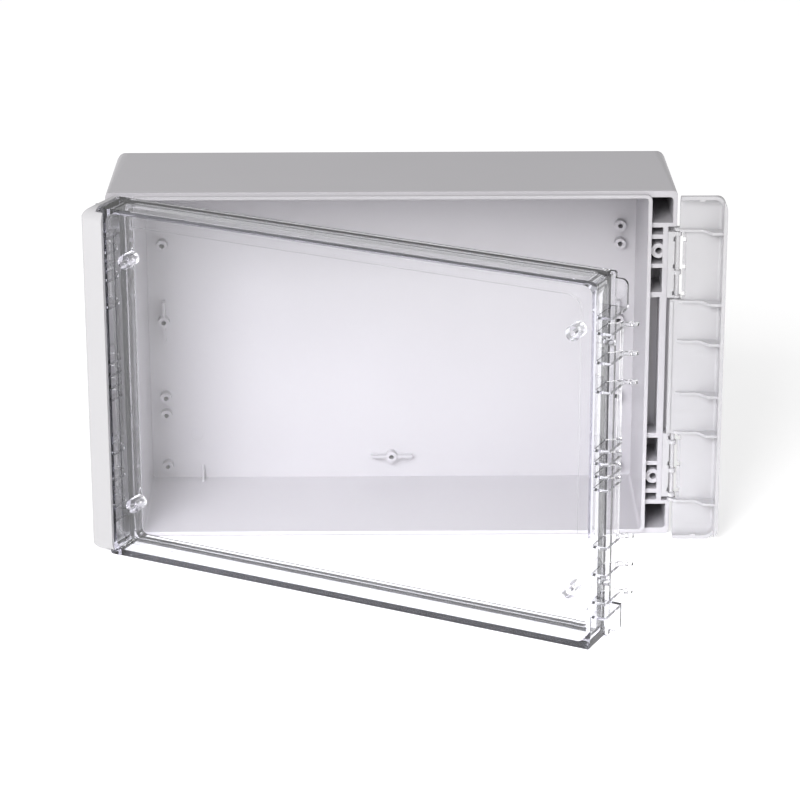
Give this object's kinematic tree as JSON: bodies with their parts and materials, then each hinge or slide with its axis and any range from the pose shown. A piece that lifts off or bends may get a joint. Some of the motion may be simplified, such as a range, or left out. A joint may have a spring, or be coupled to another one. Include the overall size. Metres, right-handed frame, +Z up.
{
  "type": "hinged wall enclosure",
  "caption": "Light-grey wall enclosure with a clear hinged tray lid, dark gasket and ribbed closing strips on both sides, shown open.",
  "frame": {"origin": "centre of the four wall-screw holes, on the flat rear face of the housing", "axes": "+X along the long side to the right seen from the opening, +Y from the opening into the wall, +Z up"},
  "size_m": [0.3035, 0.2131, 0.1756],
  "materials": {
    "housing": "fine moulded texture",
    "strip": "fine moulded texture",
    "clear": "clear polycarbonate",
    "gasket": "foamed elastomer"
  },
  "bodies": {
    "base": {"housing_base": "housing", "leaf_left_upper": "strip", "leaf_left_lower": "strip", "leaf_right_upper": "strip", "leaf_right_lower": "strip", "pin_left_upper": "strip", "pin_left_lower": "strip", "pin_right_upper": "strip", "pin_right_lower": "strip"},
    "lid": {"lid_clear": "clear", "lid_gasket": "gasket"},
    "strip_left": {"strip_left": "strip"},
    "strip_right": {"strip_right": "strip"}
  },
  "joints": [
    {"name": "lid_hinge", "type": "hinge", "parent": "base", "child": "lid", "pos_m": [-0.1362, -0.07335, 0], "axis": [0, 0, 1], "range_deg": [-63, 27]},
    {"name": "strip_left_hinge", "type": "hinge", "parent": "lid", "child": "strip_left", "pos_m": [-0.1362, -0.07335, 0], "axis": [0, 0, 1], "range_deg": [-80, 0]},
    {"name": "strip_right_hinge", "type": "hinge", "parent": "base", "child": "strip_right", "pos_m": [0.1362, -0.07335, 0], "axis": [0, 0, 1], "range_deg": [-90, 20]}
  ]
}
